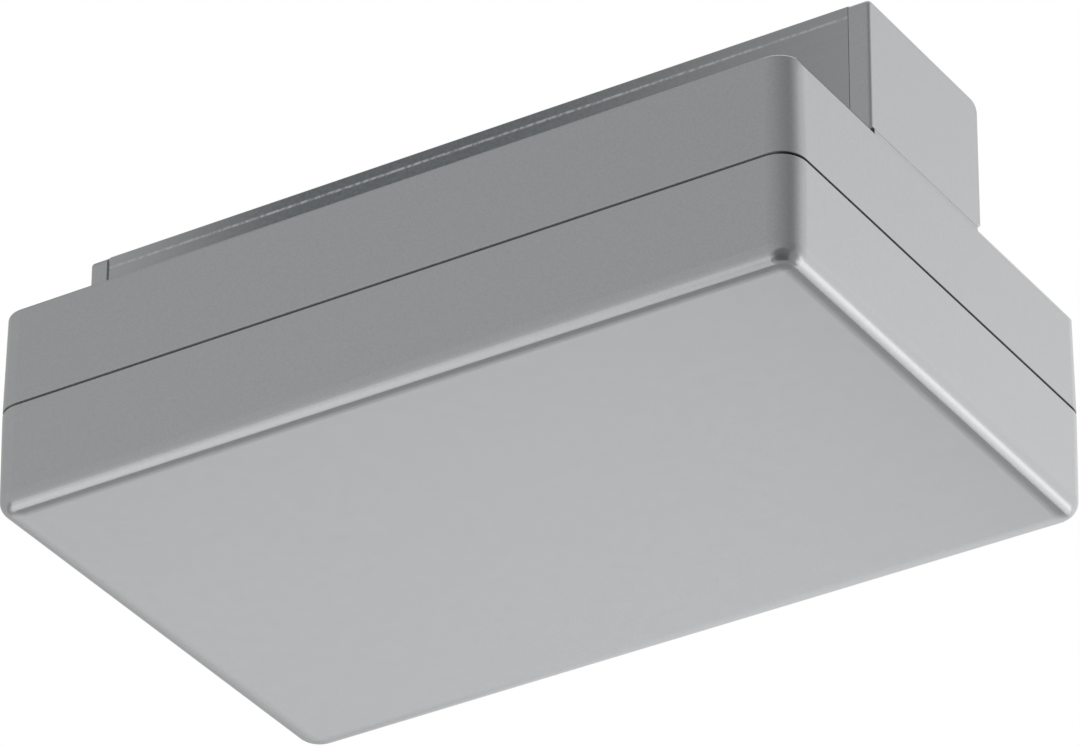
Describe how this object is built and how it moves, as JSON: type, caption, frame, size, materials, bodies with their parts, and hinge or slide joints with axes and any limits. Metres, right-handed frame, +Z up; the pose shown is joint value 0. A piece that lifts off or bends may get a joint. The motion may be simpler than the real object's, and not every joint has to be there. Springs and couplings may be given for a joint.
{
  "type": "lighting track feed connector",
  "caption": "Ceiling feed for a lighting track: shallow silver wiring box with a push-fit cover under a track-wide channel with end caps and a contact tongue.",
  "frame": {"origin": "middle of the ceiling face, on top of the channel's top plate", "axes": "+Z up to the ceiling, -X into the track's end, +X to the closed end"},
  "size_m": [0.1737, 0.0964, 0.0624],
  "materials": {
    "silver_housing": "satin metallic silver paint",
    "silver_channel": "satin metallic silver coating",
    "insulator": "fine moulded black",
    "copper_alloy": "bright rolled copper alloy",
    "earth_brass": "nickel-free turned brass",
    "spring_steel": "bright spring steel",
    "zinc_steel": "zinc plated",
    "terminal_grey": "light grey polyamide",
    "button_orange": "orange polyamide",
    "wire_brown": "satin insulation",
    "wire_black": "satin insulation",
    "wire_grey": "satin insulation",
    "wire_blue": "satin insulation",
    "wire_earth": "satin insulation with yellow stripe",
    "black_rubber": "matt rubber"
  },
  "bodies": {
    "feed_body": {"base_housing": "silver_housing", "feed_channel": "silver_channel", "channel_top_plate": "silver_channel", "closed_end_cap": "silver_housing", "track_end_cap": "silver_housing", "contact_carrier": "insulator", "contact_l1": "copper_alloy", "contact_l2": "copper_alloy", "contact_l3": "copper_alloy", "contact_n": "copper_alloy", "earth_contact": "spring_steel", "terminal_block": "terminal_grey", "busbars": "copper_alloy", "clamp_springs": "spring_steel", "wire_l1": "wire_brown", "wire_l2": "wire_black", "wire_l3": "wire_grey", "wire_n": "wire_blue", "wire_pe": "wire_earth", "earth_pillar": "earth_brass", "earth_ring": "copper_alloy", "cable_grommet": "black_rubber", "cover_clips": "spring_steel", "clip_rivets": "zinc_steel", "plate_screws": "zinc_steel", "channel_screws": "zinc_steel", "carrier_screws": "zinc_steel", "terminal_screws": "zinc_steel", "earth_screw": "zinc_steel"},
    "cover_body": {"cover": "silver_housing"},
    "grip_body": {"cord_grip_bar": "insulator", "cord_grip_screws": "zinc_steel"},
    "clamp_screw_body": {"track_clamp_screw": "zinc_steel", "track_clamp_ring": "spring_steel"},
    "clamp_plate_body": {"track_clamp_plate": "zinc_steel"},
    "button_1": {"release_button_1": "button_orange"},
    "button_2": {"release_button_2": "button_orange"},
    "button_3": {"release_button_3": "button_orange"},
    "button_4": {"release_button_4": "button_orange"},
    "button_5": {"release_button_5": "button_orange"}
  },
  "joints": [
    {"name": "cover_slide", "type": "slide", "parent": "feed_body", "child": "cover_body", "axis": [0, 0, -1], "range_m": [0, 0.045]},
    {"name": "cord_grip_slide", "type": "slide", "parent": "feed_body", "child": "grip_body", "axis": [0, 0, -1], "range_m": [-0.004, 0.002]},
    {"name": "track_clamp_turn", "type": "hinge", "parent": "feed_body", "child": "clamp_screw_body", "pos_m": [-0.08974, 0, -0.012], "axis": [0, 0, -1], "range_deg": [0, 720]},
    {"name": "track_clamp_lift", "type": "slide", "parent": "feed_body", "child": "clamp_plate_body", "axis": [0, 0, 1], "range_m": [0, 0.0014]},
    {"name": "button_1_push", "type": "slide", "parent": "feed_body", "child": "button_1", "axis": [0, 0, 1], "range_m": [0, 0.0012], "stiffness_N_per_m": 3000},
    {"name": "button_2_push", "type": "slide", "parent": "feed_body", "child": "button_2", "axis": [0, 0, 1], "range_m": [0, 0.0012], "stiffness_N_per_m": 3000},
    {"name": "button_3_push", "type": "slide", "parent": "feed_body", "child": "button_3", "axis": [0, 0, 1], "range_m": [0, 0.0012], "stiffness_N_per_m": 3000},
    {"name": "button_4_push", "type": "slide", "parent": "feed_body", "child": "button_4", "axis": [0, 0, 1], "range_m": [0, 0.0012], "stiffness_N_per_m": 3000},
    {"name": "button_5_push", "type": "slide", "parent": "feed_body", "child": "button_5", "axis": [0, 0, 1], "range_m": [0, 0.0012], "stiffness_N_per_m": 3000}
  ],
  "couplings": [
    {"joint": "track_clamp_turn", "follows": "track_clamp_lift", "rad_per_m": 8976}
  ]
}
